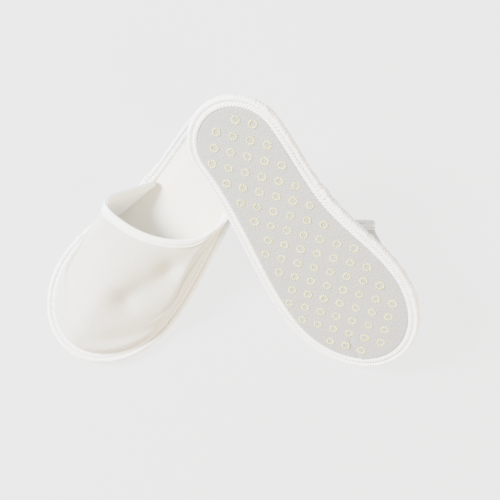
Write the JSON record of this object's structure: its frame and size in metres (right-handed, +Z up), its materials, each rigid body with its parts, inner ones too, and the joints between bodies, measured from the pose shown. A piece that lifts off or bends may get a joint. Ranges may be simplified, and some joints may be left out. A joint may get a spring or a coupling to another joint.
{
  "type": "spa slippers",
  "caption": "Closed-toe cloth spa slippers lying as a pair, one turned sole up, with padded insoles, taped edges and printed grip rings.",
  "frame": {"origin": "middle of the pair's footprint, on the floor it lies on", "axes": "+Z up from the floor, +X along the pair's longest side from the upright slipper to the turned-over one, +Y towards the heels"},
  "size_m": [0.3378, 0.249, 0.1267],
  "materials": {
    "outer_cloth": "soft non-woven cloth, matt",
    "lining_cloth": "brushed lining cloth, matt",
    "insole_cloth": "smooth brushed cloth, matt",
    "outsole_cloth": "non-woven cloth with raised pale yellow printed grip rings",
    "binding_tape": "folded sewn tape, slight sheen",
    "thread": "white sewing thread",
    "eva_foam": "closed-cell foam",
    "sponge": "soft thin sponge wadding"
  },
  "bodies": {
    "upright_slipper": {"upright_outsole_cloth": "outsole_cloth", "upright_foam_board": "eva_foam", "upright_insole_pad": "sponge", "upright_insole_cloth": "insole_cloth", "upright_sole_binding": "binding_tape", "upright_binding_stitch_top": "thread", "upright_binding_stitch_under": "thread", "upright_vamp_outer": "outer_cloth", "upright_vamp_wadding": "sponge", "upright_vamp_lining": "lining_cloth", "upright_vamp_hem": "binding_tape", "upright_hem_stitch": "thread"},
    "turned_slipper": {"turned_outsole_cloth": "outsole_cloth", "turned_foam_board": "eva_foam", "turned_insole_pad": "sponge", "turned_insole_cloth": "insole_cloth", "turned_sole_binding": "binding_tape", "turned_binding_stitch_top": "thread", "turned_binding_stitch_under": "thread", "turned_vamp_outer": "outer_cloth", "turned_vamp_wadding": "sponge", "turned_vamp_lining": "lining_cloth", "turned_vamp_hem": "binding_tape", "turned_hem_stitch": "thread"}
  },
  "joints": [
    {"name": "turned_lift", "type": "slide", "parent": "upright_slipper", "child": "turned_slipper", "axis": [0, 0, 1], "range_m": [0, 0.2]}
  ]
}
